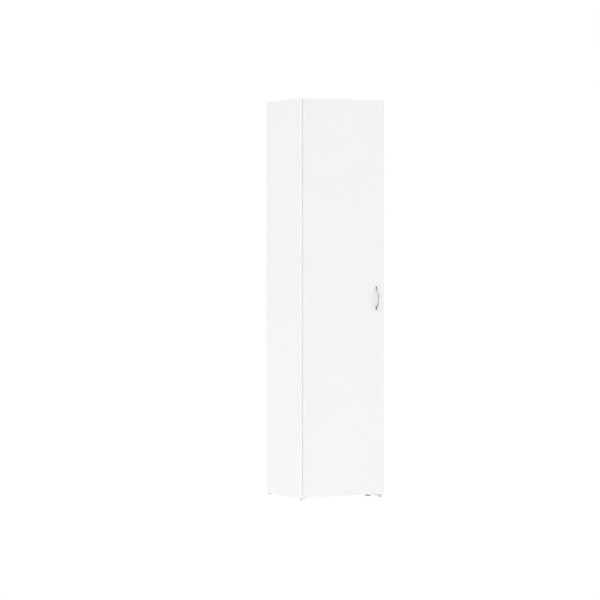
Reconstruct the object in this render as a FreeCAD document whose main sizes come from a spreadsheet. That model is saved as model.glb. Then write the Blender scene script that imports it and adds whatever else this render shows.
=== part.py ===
import FreeCAD, Part
import math
import os
import re
import Sketcher

# A tall, narrow wardrobe with one door hung on the left.
# Millimetres. X runs right as seen from the front, Y runs to the back, Z runs up.
# The origin is on the floor, under the middle of the whole wardrobe, handle included.

doc = FreeCAD.newDocument("Wardrobe")
sheet = doc.addObject("Spreadsheet::Sheet", "Sizes")

SIZES = {
    # The whole wardrobe, its boards and the gaps between them
    "wardrobe_width": 394.0,
    "overall_depth": 415.0,
    "wardrobe_height": 1754.0,
    "board_thickness": 16.0,
    "board_rounding": 0.5,
    "back_thickness": 3.0,
    "back_margin": 2.0,
    "plinth_height": 51.0,
    "plinth_floor_gap": 9.0,
    "plinth_setback": 62.0,
    "hat_space_height": 282.0,
    "shelf_setback": 15.0,
    "shelf_side_clearance": 1.0,
    "shelf_back_clearance": 2.0,
    # Door
    "door_thickness": 16.0,
    "door_gap": 3.0,
    "door_side_margin": 1.5,
    "door_top_margin": 1.0,
    "door_bottom_level": 14.0,
    "door_rounding": 1.5,
    "bumper_radius": 5.0,
    "bumper_tip_radius": 4.0,
    "bumper_height": 2.7,
    "bumper_end_distance": 60.0,
    # Handle
    "handle_length": 111.0,
    "handle_projection": 27.0,
    "handle_grip_thickness": 5.0,
    "handle_foot_length": 14.0,
    "handle_width": 8.0,
    "handle_rounding": 1.5,
    "handle_screw_spacing": 96.0,
    "handle_edge_distance": 37.0,
    "handle_drop": 2.5,
    "handle_screw_radius": 2.0,
    "handle_screw_bite": 6.0,
    "handle_hole_clearance": 0.25,
    "handle_head_radius": 4.0,
    "handle_head_height": 2.4,
    # Hinges: one pin each, low in the cup and close to the door's edge
    "hinge_end_distance": 100.0,
    "hinge_pin_radius": 1.25,
    "hinge_pin_clearance": 0.05,
    "hinge_pin_edge_distance": 7.0,
    "hinge_pin_depth": 9.0,
    "hinge_pin_length": 16.0,
    "cup_radius": 17.5,
    "cup_depth": 12.5,
    "cup_clearance": 0.05,
    "cup_wall": 0.6,
    "cup_floor": 0.7,
    "cup_edge_distance": 3.0,
    "cup_flange_radius": 18.8,
    "cup_flange_thickness": 1.2,
    "cup_ear_length": 60.0,
    "cup_ear_width": 13.0,
    "cup_ear_offset": 6.0,
    "cup_screw_spacing": 48.0,
    "lug_width": 5.2,
    "lug_height": 6.4,
    "lug_length": 3.8,
    "arm_thickness": 2.2,
    "arm_eye_radius": 2.2,
    "arm_eye_width": 10.0,
    "arm_side_clearance": 0.4,
    "arm_reach": 58.0,
    "arm_bend_radius": 1.5,
    "channel_start": 16.0,
    "channel_width": 14.0,
    "channel_inner_width": 11.0,
    "lip_clearance": 0.3,
    "plate_height": 4.0,
    "plate_front": 18.0,
    "plate_back": 57.0,
    "plate_width": 10.0,
    "wing_thickness": 2.0,
    "wing_length": 48.0,
    "wing_width": 12.0,
    "plate_screw_setback": 37.0,
    "plate_screw_spacing": 32.0,
    "plate_screw_radius": 3.0,
    "plate_screw_length": 13.0,
    "plate_head_radius": 4.5,
    "plate_head_height": 2.2,
    "arm_screw_front": 26.0,
    "arm_screw_back": 49.0,
    "arm_screw_radius": 2.0,
    "arm_screw_length": 5.2,
    "arm_head_radius": 3.6,
    "arm_head_height": 2.0,
    # Cam bolts, cam locks and dowels
    "cam_inset": 50.0,
    "cam_distance": 34.0,
    "cam_radius": 7.5,
    "cam_depth": 12.5,
    "cam_clearance": 0.1,
    "cam_slot_width": 1.6,
    "cam_slot_depth": 2.0,
    "bolt_thread_radius": 2.5,
    "bolt_thread_length": 11.0,
    "bolt_stem_radius": 3.0,
    "bolt_neck_radius": 2.0,
    "bolt_neck_length": 7.0,
    "bolt_head_radius": 3.2,
    "bolt_head_length": 4.0,
    "bolt_bore_radius": 4.0,
    "cap_radius": 8.5,
    "cap_thickness": 1.0,
    "dowel_radius": 4.0,
    "dowel_length": 30.0,
    "dowel_in_side": 10.0,
    "dowel_end_gap": 0.5,
    "plinth_dowel_margin": 16.0,
    # Small wood screws
    "wood_screw_radius": 1.75,
    "wood_screw_length": 12.0,
    "wood_head_radius": 3.3,
    "wood_head_height": 1.8,
    # Lower shelf and its pins
    "pin_radius": 2.5,
    "pin_length": 16.0,
    "pin_depth": 8.0,
    "pin_inset": 40.0,
    "pin_pitch": 32.0,
    "pin_lowest_level": 300.0,
    "pin_rows": 5.0,
    "pin_used_row": 2.0,
    # Clothes rail
    "rail_height": 30.0,
    "rail_width": 15.0,
    "rail_wall": 1.2,
    "rail_drop": 50.0,
    "rail_end_gap": 0.2,
    "rail_fit": 0.2,
    "support_base_thickness": 2.0,
    "support_base_height": 64.0,
    "support_rim_wall": 3.0,
    "support_rim_depth": 12.0,
    "support_screw_spacing": 50.0,
    # Nails in the back sheet
    "nail_radius": 0.9,
    "nail_length": 18.0,
    "nail_head_radius": 2.2,
    "nail_head_height": 0.8,
    "nail_end_distance": 30.0,
    "nail_rows": 10.0,
    "nail_cross_spacing": 180.0,
    # Glides
    "glide_height": 5.0,
    "glide_radius": 5.5,
    "glide_sole_radius": 4.5,
    "glide_front_left_inset": 29.0,
    "glide_front_right_inset": 7.0,
    "glide_back_inset": 19.5,
    "glide_stem_radius": 1.3,
    "glide_stem_length": 10.0,
    "plinth_glide_length": 22.5,
    "plinth_glide_width": 10.0,
    "plinth_glide_inset": 20.0,
    # Wall bracket
    "bracket_thickness": 2.0,
    "bracket_width": 44.0,
    "bracket_top_leg": 30.0,
    "bracket_back_leg": 36.0,
    "bracket_hole_radius": 3.0,
    "bracket_hole_drop": 21.0,
    "bracket_screw_spacing": 26.0,
    "bracket_screw_inset": 16.0,
    # Magnetic catch
    "catch_rise": 126.5,
    "catch_depth": 13.0,
    "catch_length": 34.0,
    "catch_height": 20.0,
    "catch_setback": 0.4,
    "catch_ear_height": 54.0,
    "catch_ear_length": 14.0,
    "catch_ear_thickness": 3.0,
    "catch_screw_spacing": 40.0,
    "magnet_width": 8.0,
    "magnet_length": 12.0,
    "magnet_height": 16.0,
    "magnet_stand_out": 1.0,
    "strike_radius": 8.0,
    "strike_thickness": 2.0,
    "strike_stem_radius": 1.5,
    "strike_stem_length": 8.0,
}

for row, (name, number) in enumerate(SIZES.items(), start=1):
    sheet.set("A%d" % row, name.replace("_", " "))
    sheet.set("B%d" % row, str(number))
    sheet.setAlias("B%d" % row, name)
doc.recompute()

PIECES = []

# Places that several pieces share, as formulas of the sizes
LEFT = "(-wardrobe_width / 2)"
INNER_LEFT = "(board_thickness - wardrobe_width / 2)"
INNER_RIGHT = "(wardrobe_width / 2 - board_thickness)"
INNER_WIDTH = "(wardrobe_width - 2 * board_thickness)"
DOOR_FRONT = "(handle_projection - overall_depth / 2)"
DOOR_BACK = "(handle_projection + door_thickness - overall_depth / 2)"
FRONT = "(handle_projection + door_thickness + door_gap - overall_depth / 2)"
BACK = "(overall_depth / 2 - back_thickness)"
CARCASS_DEPTH = "(overall_depth - handle_projection - door_thickness - door_gap - back_thickness)"
MID_DEPTH = f"(({FRONT} + {BACK}) / 2)"
BOTTOM_UNDER = "(plinth_floor_gap + plinth_height)"
TOP_UNDER = "(wardrobe_height - board_thickness)"
HAT_SHELF_UNDER = f"({TOP_UNDER} - hat_space_height - board_thickness)"
DOOR_LEFT = "(door_side_margin - wardrobe_width / 2)"
DOOR_RIGHT = "(wardrobe_width / 2 - door_side_margin)"
DOOR_TOP = "(wardrobe_height - door_top_margin)"
DOOR_MID = f"((door_bottom_level + {DOOR_TOP}) / 2)"
CATCH_LEVEL = f"({DOOR_MID} + catch_rise)"
SHELF_UNDER = "(pin_lowest_level + pin_used_row * pin_pitch + pin_radius)"
RAIL_LEVEL = f"({HAT_SHELF_UNDER} - rail_drop)"
PIN_X = f"({DOOR_LEFT} + hinge_pin_edge_distance)"
PIN_Y = f"({DOOR_BACK} - hinge_pin_depth)"
CUP_X = f"({DOOR_LEFT} + cup_edge_distance + cup_radius)"
HINGE_LEVELS = {
    "bottom": "(door_bottom_level + hinge_end_distance)",
    "middle": DOOR_MID,
    "top": f"({DOOR_TOP} - hinge_end_distance)",
}

TURNS = {
    "+x": FreeCAD.Rotation(FreeCAD.Vector(0, 1, 0), 90),
    "-x": FreeCAD.Rotation(FreeCAD.Vector(0, 1, 0), -90),
    "+y": FreeCAD.Rotation(FreeCAD.Vector(1, 0, 0), -90),
    "-y": FreeCAD.Rotation(FreeCAD.Vector(1, 0, 0), 90),
    "+z": FreeCAD.Rotation(),
    "-z": FreeCAD.Rotation(FreeCAD.Vector(1, 0, 0), 180),
    "half": FreeCAD.Rotation(FreeCAD.Vector(0, 0, 1), 180),
}


def formula(text):
    """Put the sheet's name before each size in a formula."""
    return re.sub(r"[a-z_]+", lambda word: "Sizes." + word[0] if word[0] in SIZES else word[0], str(text))


def bind(item, **formulas):
    """Tie properties of an object to formulas."""
    for name, text in formulas.items():
        item.setExpression(name, formula(text))


def place(item, x, y, z, turn="+z"):
    """Turn an object, then tie its position to three formulas."""
    item.Placement = FreeCAD.Placement(FreeCAD.Vector(), TURNS[turn])
    for axis, text in zip("xyz", (x, y, z)):
        item.setExpression("Placement.Base." + axis, formula(text))
    return item


def box(name, corner, lengths):
    """A block with one corner and three edge lengths."""
    item = doc.addObject("Part::Box", name)
    bind(item, Length=lengths[0], Width=lengths[1], Height=lengths[2])
    return place(item, *corner)


def rod(name, radius, length, start, turn="+z"):
    """A round bar from its start point, along the named direction."""
    item = doc.addObject("Part::Cylinder", name)
    bind(item, Radius=radius, Height=length)
    return place(item, *start, turn)


def cone(name, radius, end_radius, length, start, turn="+z"):
    """A round bar that tapers from its start point."""
    item = doc.addObject("Part::Cone", name)
    bind(item, Radius1=radius, Radius2=end_radius, Height=length)
    return place(item, *start, turn)


def fuse(name, solids):
    """Join solids into one."""
    item = doc.addObject("Part::MultiFuse", name)
    item.Shapes = solids
    return item


def cut(name, base, tools):
    """Take one or more solids away from a base."""
    item = doc.addObject("Part::Cut", name)
    item.Base = base
    item.Tool = tools[0] if len(tools) == 1 else fuse(name + "_cutters", tools)
    return item


def piece(item, label):
    """Keep an object as a finished piece of the wardrobe."""
    item.Label = label
    PIECES.append(item)
    return item


def copies(label, master, places):
    """A piece made of copies of one master, each at three formulas and a turn."""
    links = []
    for number, spot in enumerate(places):
        link = doc.addObject("App::Link", "%s_copy_%d" % (label, number))
        link.LinkedObject = master
        link.LinkTransform = False
        links.append(place(link, *spot))
    group = doc.addObject("Part::Compound", label + "_group")
    group.Links = links
    return piece(group, label)


def sketch_on(body, role, name):
    """A sketch on one of the body's own origin planes."""
    sketch = body.newObject("Sketcher::SketchObject", name)
    found = [feature for feature in body.Origin.OriginFeatures if feature.Role == role]
    sketch.AttachmentSupport = (found[0], [""])
    sketch.MapMode = "FlatFace"
    return sketch


def hold(sketch, constraint, name, text):
    """Add a named constraint and tie it to a formula."""
    index = sketch.addConstraint(constraint)
    sketch.renameConstraint(index, name)
    sketch.setExpression("Constraints." + name, formula(text))


def polygon(sketch, corners):
    """Straight edges round the corners, with each corner held at its two formulas."""
    count = len(corners)
    step = 2 * math.pi / count
    ring = [FreeCAD.Vector(9 * math.cos(step * k), 9 * math.sin(step * k), 0) for k in range(count)]
    for k in range(count):
        sketch.addGeometry(Part.LineSegment(ring[k], ring[(k + 1) % count]))
    for k in range(count):
        sketch.addConstraint(Sketcher.Constraint("Coincident", k, 2, (k + 1) % count, 1))
    for k, (across, up) in enumerate(corners):
        hold(sketch, Sketcher.Constraint("DistanceX", -1, 1, k, 1, 1.0), "across_%d" % k, across)
        hold(sketch, Sketcher.Constraint("DistanceY", -1, 1, k, 1, 1.0), "up_%d" % k, up)


def circle(sketch, across, up, radius):
    """A circle held at its centre and radius."""
    index = sketch.addGeometry(Part.Circle(FreeCAD.Vector(1, 1, 0), FreeCAD.Vector(0, 0, 1), 1.0))
    hold(sketch, Sketcher.Constraint("DistanceX", -1, 1, index, 3, 1.0), "across_%d" % index, across)
    hold(sketch, Sketcher.Constraint("DistanceY", -1, 1, index, 3, 1.0), "up_%d" % index, up)
    hold(sketch, Sketcher.Constraint("Radius", index, 1.0), "radius_%d" % index, radius)


def middle_pad(body, sketch, name, width):
    """Thicken a sketch equally to both sides."""
    pad = body.newObject("PartDesign::Pad", name)
    pad.Profile = sketch
    pad.Midplane = True
    bind(pad, Length=width)
    return pad


def board(name, corner, lengths, rounding="board_rounding"):
    """A coated board: a block with every edge a little rounded."""
    body = doc.addObject("PartDesign::Body", name + "_board")
    block = body.newObject("PartDesign::AdditiveBox", name + "_block")
    bind(block, Length=lengths[0], Width=lengths[1], Height=lengths[2])
    doc.recompute()
    soft = body.newObject("PartDesign::Fillet", name + "_edges")
    soft.Base = (block, ["Edge%d" % number for number in range(1, 13)])
    bind(soft, Radius=rounding)
    return place(body, *corner)


# Shapes of a screw's point and head, as shares of its own radius and head size
TIP_RADIUS_SHARE = 0.35
POINT_LENGTH_SHARE = 1.5
RIM_HEIGHT_SHARE = 0.45
CROWN_RADIUS_SHARE = 0.6
SLIT_LENGTH_SHARE = 0.9
SLIT_WIDTH_SHARE = 0.24
SLIT_FLOOR_SHARE = 0.4


def screw(name, radius, length, head_radius, head_height):
    """A screw along -Z: the shank's top and the head's underside lie at the origin."""
    body = doc.addObject("PartDesign::Body", name + "_turned")
    sketch = sketch_on(body, "XZ_Plane", name + "_half")
    polygon(sketch, [
        ("0", f"-{length}"),
        (f"{TIP_RADIUS_SHARE} * {radius}", f"-{length}"),
        (radius, f"-{length} + {POINT_LENGTH_SHARE} * {radius}"),
        (radius, "0"),
        (head_radius, "0"),
        (head_radius, f"{RIM_HEIGHT_SHARE} * {head_height}"),
        (f"{CROWN_RADIUS_SHARE} * {head_radius}", head_height),
        ("0", head_height),
    ])
    turned = body.newObject("PartDesign::Revolution", name + "_turning")
    turned.Profile = sketch
    turned.ReferenceAxis = (sketch, ["V_Axis"])
    turned.Angle = 360
    slit = f"{SLIT_LENGTH_SHARE} * {head_radius}"
    width = f"{SLIT_WIDTH_SHARE} * {head_radius}"
    floor = f"{SLIT_FLOOR_SHARE} * {head_height}"
    first = box(name + "_slit_a", (f"-{slit} / 2", f"-{width} / 2", floor), (slit, width, head_height))
    second = box(name + "_slit_b", (f"-{width} / 2", f"-{slit} / 2", floor), (width, slit, head_height))
    return cut(name, body, [first, second])


def oval_bar(name, height, width, length, start):
    """A bar along +X with a flat-sided oval section."""
    x, y, z = start
    straight = f"({height} - {width})"
    corner = (x, f"{y} - {width} / 2", f"{z} - {straight} / 2")
    middle = box(name + "_flat", corner, (length, width, straight))
    ends = [
        rod(name + "_" + end, f"{width} / 2", length, (x, y, f"{z} {sign} {straight} / 2"), "+x")
        for end, sign in (("lower", "-"), ("upper", "+"))
    ]
    return fuse(name, [middle] + ends)


# Joints between the side boards and the boards that lie between them
LEVELS = {
    "bottom_panel": BOTTOM_UNDER,
    "hat_shelf": HAT_SHELF_UNDER,
    "top_panel": TOP_UNDER,
}
SIDES = {
    "left": (INNER_LEFT, "+x", "-x", "+"),
    "right": (INNER_RIGHT, "-x", "+x", "-"),
}
CAM_ROWS = {"front": f"({FRONT} + cam_inset)", "back": f"({BACK} - cam_inset)"}
PIN_LINES = {"front": f"({FRONT} + pin_inset)", "back": f"({BACK} - pin_inset)"}
PLINTH_Y = f"({FRONT} + plinth_setback + board_thickness / 2)"
PLINTH_DOWELS = {
    "low": "(plinth_floor_gap + plinth_dowel_margin)",
    "high": "(plinth_floor_gap + plinth_height - plinth_dowel_margin)",
}
DOWEL_PLACES = [(MID_DEPTH, f"({level} + board_thickness / 2)") for level in LEVELS.values()]
DOWEL_PLACES += [(PLINTH_Y, level) for level in PLINTH_DOWELS.values()]
GLIDE_ROWS = {
    "left": {"front": f"({FRONT} + glide_front_left_inset)", "back": f"({BACK} - glide_back_inset)"},
    "right": {"front": f"({FRONT} + glide_front_right_inset)", "back": f"({BACK} - glide_back_inset)"},
}
NAIL_PITCH = f"(({TOP_UNDER} - {BOTTOM_UNDER} - 2 * nail_end_distance) / (nail_rows - 1))"
NAIL_COUNT = int(SIZES["nail_rows"])
NAIL_LEVELS = [f"({BOTTOM_UNDER} + nail_end_distance + {k} * {NAIL_PITCH})" for k in range(NAIL_COUNT)]
NAIL_ENDS = [f"({BOTTOM_UNDER} + board_thickness / 2)", f"({TOP_UNDER} + board_thickness / 2)"]
CATCH_SCREW_Y = f"({FRONT} + catch_setback + catch_length / 2)"
SIDE_CENTRES = {
    "left": "(board_thickness / 2 - wardrobe_width / 2)",
    "right": "(wardrobe_width / 2 - board_thickness / 2)",
}


# Side boards, drilled for everything that goes into them
def side_panel(side):
    face, inward, outward, sign = SIDES[side]
    name = "side_panel_" + side
    base = board(
        name,
        (LEFT if side == "left" else INNER_RIGHT, FRONT, "glide_height"),
        ("board_thickness", CARCASS_DEPTH, "wardrobe_height - glide_height"),
    )
    drills = []
    for level_name, level in LEVELS.items():
        for row_name, y in CAM_ROWS.items():
            spot = (face, y, f"{level} + board_thickness / 2")
            label = f"{name}_bolt_{level_name}_{row_name}"
            drills.append(rod(label, "bolt_thread_radius", "bolt_thread_length", spot, outward))
    for number, (y, z) in enumerate(DOWEL_PLACES):
        depth = "dowel_in_side + dowel_end_gap"
        drills.append(rod(f"{name}_dowel_{number}", "dowel_radius", depth, (face, y, z), outward))
    for line, y in PIN_LINES.items():
        for row in range(int(SIZES["pin_rows"])):
            spot = (face, y, f"pin_lowest_level + {row} * pin_pitch")
            drills.append(rod(f"{name}_pin_{line}_{row}", "pin_radius", "pin_depth", spot, outward))
    for number, end in enumerate(("-", "+")):
        spot = (face, MID_DEPTH, f"{RAIL_LEVEL} {end} support_screw_spacing / 2")
        depth = "wood_screw_length - support_base_thickness"
        drills.append(rod(f"{name}_rail_{number}", "wood_screw_radius", depth, spot, outward))
    for number, level in enumerate(NAIL_LEVELS):
        spot = (SIDE_CENTRES[side], BACK, level)
        depth = "nail_length - back_thickness"
        drills.append(rod(f"{name}_nail_{number}", "nail_radius", depth, spot, "-y"))
    for end, y in GLIDE_ROWS[side].items():
        spot = (SIDE_CENTRES[side], y, "glide_height")
        drills.append(rod(f"{name}_glide_{end}", "glide_stem_radius", "glide_stem_length", spot))
    if side == "left":
        for hinge, level in HINGE_LEVELS.items():
            for number, end in enumerate(("-", "+")):
                spot = (face, f"{FRONT} + plate_screw_setback", f"{level} {end} plate_screw_spacing / 2")
                depth = "plate_screw_length - wing_thickness"
                drills.append(rod(f"{name}_{hinge}_{number}", "plate_screw_radius", depth, spot, outward))
    else:
        for number, end in enumerate(("-", "+")):
            spot = (face, CATCH_SCREW_Y, f"{CATCH_LEVEL} {end} catch_screw_spacing / 2")
            depth = "wood_screw_length - catch_ear_thickness"
            drills.append(rod(f"{name}_catch_{number}", "wood_screw_radius", depth, spot, outward))
    return piece(cut(name, base, drills), name)


for side in SIDES:
    side_panel(side)


# Boards between the sides, with cam pockets in their undersides
def cross_panel(name, level, front, extra=()):
    base = board(
        name,
        (INNER_LEFT, front, level),
        (INNER_WIDTH, f"{BACK} - {front}", "board_thickness"),
    )
    drills = list(extra)
    for side, (face, inward, outward, sign) in SIDES.items():
        for row, y in CAM_ROWS.items():
            axis = f"{level} + board_thickness / 2"
            label = f"{name}_{side}_{row}"
            drills.append(rod(label + "_bore", "bolt_bore_radius", "cam_distance", (face, y, axis), inward))
            centre = (f"{face} {sign} cam_distance", y, level)
            drills.append(rod(label + "_pocket", "cam_radius", "cam_depth", centre))
        depth = "dowel_length - dowel_in_side + dowel_end_gap"
        spot = (face, MID_DEPTH, f"{level} + board_thickness / 2")
        drills.append(rod(f"{name}_{side}_dowel", "dowel_radius", depth, spot, inward))
    return piece(cut(name, base, drills), name)


def edge_nail_drills(name, level):
    depth = "nail_length - back_thickness"
    spots = [(f"{end} nail_cross_spacing / 2", BACK, level) for end in ("-", "+")]
    return [
        rod(f"{name}_nail_{number}", "nail_radius", depth, spot, "-y")
        for number, spot in enumerate(spots)
    ]


bracket_drills = [
    rod(
        f"top_panel_bracket_{number}",
        "wood_screw_radius",
        "wood_screw_length - bracket_thickness",
        (f"{end} bracket_screw_spacing / 2", f"{BACK} - bracket_screw_inset", TOP_UNDER),
    )
    for number, end in enumerate(("-", "+"))
]
cross_panel("bottom_panel", BOTTOM_UNDER, FRONT, edge_nail_drills("bottom_panel", NAIL_ENDS[0]))
cross_panel("top_panel", TOP_UNDER, FRONT, edge_nail_drills("top_panel", NAIL_ENDS[1]) + bracket_drills)
cross_panel("hat_shelf", HAT_SHELF_UNDER, f"({FRONT} + shelf_setback)")

# Plinth board, set back under the bottom board and clear of the floor
PLINTH_GLIDE_X = f"({INNER_RIGHT} - plinth_glide_inset)"
plinth = board(
    "plinth_board",
    (INNER_LEFT, f"{FRONT} + plinth_setback", "plinth_floor_gap"),
    (INNER_WIDTH, "board_thickness", "plinth_height"),
)
plinth_glide_spot = (PLINTH_GLIDE_X, PLINTH_Y, "plinth_floor_gap")
plinth_drills = [rod("plinth_glide_hole", "glide_stem_radius", "glide_stem_length", plinth_glide_spot)]
for side, (face, inward, outward, sign) in SIDES.items():
    for end, level in PLINTH_DOWELS.items():
        spot = (face, PLINTH_Y, level)
        depth = "dowel_length - dowel_in_side + dowel_end_gap"
        plinth_drills.append(rod(f"plinth_{side}_{end}", "dowel_radius", depth, spot, inward))
piece(cut("plinth_board", plinth, plinth_drills), "plinth_board")

# Lower shelf, loose on four pins
lower_shelf = board(
    "adjustable_shelf",
    (f"{INNER_LEFT} + shelf_side_clearance", f"{FRONT} + shelf_setback", SHELF_UNDER),
    (
        f"{INNER_WIDTH} - 2 * shelf_side_clearance",
        f"{CARCASS_DEPTH} - shelf_setback - shelf_back_clearance",
        "board_thickness",
    ),
)
piece(lower_shelf, "adjustable_shelf")

# Back sheet, its nail holes and the hole for the wall screw
NAIL_PLACES = [(SIDE_CENTRES[side], level) for side in SIDES for level in NAIL_LEVELS]
NAIL_PLACES += [(f"({end} nail_cross_spacing / 2)", level) for level in NAIL_ENDS for end in ("-", "+")]
BRACKET_HOLE_LEVEL = f"({TOP_UNDER} - bracket_hole_drop)"
sheet_back = box(
    "back_sheet",
    (f"{LEFT} + back_margin", BACK, BOTTOM_UNDER),
    ("wardrobe_width - 2 * back_margin", "back_thickness", f"wardrobe_height - back_margin - {BOTTOM_UNDER}"),
)
wall_spot = ("0", BACK, BRACKET_HOLE_LEVEL)
sheet_drills = [rod("back_wall_hole", "bracket_hole_radius", "back_thickness", wall_spot, "+y")]
for number, (x, z) in enumerate(NAIL_PLACES):
    sheet_drills.append(rod(f"back_nail_{number}", "nail_radius", "back_thickness", (x, BACK, z), "+y"))
    head = (x, f"{BACK} + back_thickness - nail_head_height", z)
    sheet_drills.append(rod(f"back_nail_head_{number}", "nail_head_radius", "nail_head_height", head, "+y"))
piece(cut("back_panel", sheet_back, sheet_drills), "back_panel")

nail = fuse("nail", [
    rod("nail_shank", "nail_radius", "nail_length", ("0", "0", "-nail_length")),
    rod("nail_head", "nail_head_radius", "nail_head_height", ("0", "0", "-nail_head_height")),
])
copies("back_panel_nails", nail, [(x, "overall_depth / 2", z, "+y") for x, z in NAIL_PLACES])

# Cam bolts, cam locks, cover caps and dowels
bolt = doc.addObject("PartDesign::Body", "bolt")
bolt_half = sketch_on(bolt, "XY_Plane", "bolt_half")
BOLT_HEAD_END = "(cam_distance + bolt_head_length / 2)"
polygon(bolt_half, [
    ("-bolt_thread_length", "0"),
    ("-bolt_thread_length", "bolt_thread_radius"),
    ("0", "bolt_thread_radius"),
    ("0", "bolt_stem_radius"),
    (f"{BOLT_HEAD_END} - bolt_head_length - bolt_neck_length", "bolt_stem_radius"),
    (f"{BOLT_HEAD_END} - bolt_head_length - bolt_neck_length", "bolt_neck_radius"),
    (f"{BOLT_HEAD_END} - bolt_head_length", "bolt_neck_radius"),
    (f"{BOLT_HEAD_END} - bolt_head_length", "bolt_head_radius"),
    (BOLT_HEAD_END, "bolt_head_radius"),
    (BOLT_HEAD_END, "0"),
])
bolt_turning = bolt.newObject("PartDesign::Revolution", "bolt_turning")
bolt_turning.Profile = bolt_half
bolt_turning.ReferenceAxis = (bolt_half, ["H_Axis"])
bolt_turning.Angle = 360

CAM_HEIGHT = "(cam_depth - cam_clearance)"
cam = cut("cam", rod("cam_disc", "cam_radius - cam_clearance", CAM_HEIGHT, ("0", "0", "0")), [
    rod(
        "cam_hollow",
        "bolt_bore_radius",
        "cam_radius + bolt_head_length",
        ("-cam_radius", "0", "board_thickness / 2"),
        "+x",
    ),
    box(
        "cam_slot_a",
        ("-cam_radius / 2", "-cam_slot_width / 2", "0"),
        ("cam_radius", "cam_slot_width", "cam_slot_depth"),
    ),
    box(
        "cam_slot_b",
        ("-cam_slot_width / 2", "-cam_radius / 2", "0"),
        ("cam_slot_width", "cam_radius", "cam_slot_depth"),
    ),
])
bolt_places = []
cam_places = []
cap_places = []
for level_name, level in LEVELS.items():
    for side, (face, inward, outward, sign) in SIDES.items():
        turn = "+z" if side == "left" else "half"
        for y in CAM_ROWS.values():
            centre = f"{face} {sign} cam_distance"
            bolt_places.append((face, y, f"{level} + board_thickness / 2", turn))
            cam_places.append((centre, y, level, turn))
            if level_name != "bottom_panel":
                cap_places.append((centre, y, f"{level} - cap_thickness", "+z"))
copies("cam_bolts", bolt, bolt_places)
copies("cam_locks", cam, cam_places)
cap = cone("cap", "cap_radius - cap_thickness / 2", "cap_radius", "cap_thickness", ("0", "0", "0"))
copies("cam_cover_caps", cap, cap_places)

dowel = rod("dowel", "dowel_radius", "dowel_length", ("0", "0", "0"))
dowel_places = []
for side, (face, inward, outward, sign) in SIDES.items():
    opposite = "-" if sign == "+" else "+"
    dowel_places += [(f"{face} {opposite} dowel_in_side", y, z, inward) for y, z in DOWEL_PLACES]
copies("wood_dowels", dowel, dowel_places)

# Pins under the lower shelf
pin = rod("pin", "pin_radius", "pin_length", ("0", "0", "0"))
pin_places = []
for side, (face, inward, outward, sign) in SIDES.items():
    opposite = "-" if sign == "+" else "+"
    level = "pin_lowest_level + pin_used_row * pin_pitch"
    pin_places += [(f"{face} {opposite} pin_depth", y, level, inward) for y in PIN_LINES.values()]
copies("shelf_pins", pin, pin_places)

# Small wood screw that several fittings share
wood_screw = screw(
    "wood_screw",
    "wood_screw_radius",
    "wood_screw_length",
    "wood_head_radius",
    "wood_head_height",
)

# Clothes rail in two screwed supports
rail_start = (f"{INNER_LEFT} + support_base_thickness + rail_end_gap", MID_DEPTH, RAIL_LEVEL)
rail_length = f"{INNER_WIDTH} - 2 * support_base_thickness - 2 * rail_end_gap"
inside_height = "(rail_height - 2 * rail_wall)"
inside_width = "(rail_width - 2 * rail_wall)"
rail = cut(
    "rail",
    oval_bar("rail_outside", "rail_height", "rail_width", rail_length, rail_start),
    [oval_bar("rail_inside", inside_height, inside_width, rail_length, rail_start)],
)
piece(rail, "clothes_rail")

ORIGIN = ("0", "0", "0")
rim_height = "(rail_height + 2 * rail_fit + 2 * support_rim_wall)"
rim_width = "(rail_width + 2 * rail_fit + 2 * support_rim_wall)"
socket_start = ("support_base_thickness", "0", "0")
support = cut(
    "support",
    fuse("support_body", [
        oval_bar("support_base", "support_base_height", rim_width, "support_base_thickness", ORIGIN),
        oval_bar("support_rim", rim_height, rim_width, "support_rim_depth", ORIGIN),
    ]),
    [
        oval_bar(
            "support_socket",
            "(rail_height + 2 * rail_fit)",
            "(rail_width + 2 * rail_fit)",
            "support_rim_depth",
            socket_start,
        ),
        rod(
            "support_hole_low",
            "wood_screw_radius",
            "support_base_thickness",
            ("0", "0", "-support_screw_spacing / 2"),
            "+x",
        ),
        rod(
            "support_hole_high",
            "wood_screw_radius",
            "support_base_thickness",
            ("0", "0", "support_screw_spacing / 2"),
            "+x",
        ),
    ],
)
copies("rail_support_left", support, [(INNER_LEFT, MID_DEPTH, RAIL_LEVEL, "+z")])
copies("rail_support_right", support, [(INNER_RIGHT, MID_DEPTH, RAIL_LEVEL, "half")])
support_screw_places = []
for side, (face, inward, outward, sign) in SIDES.items():
    for end in ("-", "+"):
        level = f"{RAIL_LEVEL} {end} support_screw_spacing / 2"
        support_screw_places.append((f"{face} {sign} support_base_thickness", MID_DEPTH, level, inward))
copies("rail_support_screws", wood_screw, support_screw_places)

# Glides: one at each end of both side boards, and a long one under the plinth
glide = fuse("glide", [
    cone("glide_sole", "glide_sole_radius", "glide_radius", "glide_height", ORIGIN),
    rod("glide_stem", "glide_stem_radius", "glide_stem_length", ("0", "0", "glide_height")),
])
for side in SIDES:
    for end, y in GLIDE_ROWS[side].items():
        copies(f"foot_glide_{end}_{side}", glide, [(SIDE_CENTRES[side], y, "0", "+z")])
long_glide = fuse("long_glide", [
    box(
        "long_glide_sole",
        (f"{PLINTH_GLIDE_X} - plinth_glide_length / 2", f"{PLINTH_Y} - plinth_glide_width / 2", "0"),
        ("plinth_glide_length", "plinth_glide_width", "plinth_floor_gap"),
    ),
    rod("long_glide_stem", "glide_stem_radius", "glide_stem_length", plinth_glide_spot),
])
piece(long_glide, "plinth_glide")

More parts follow.
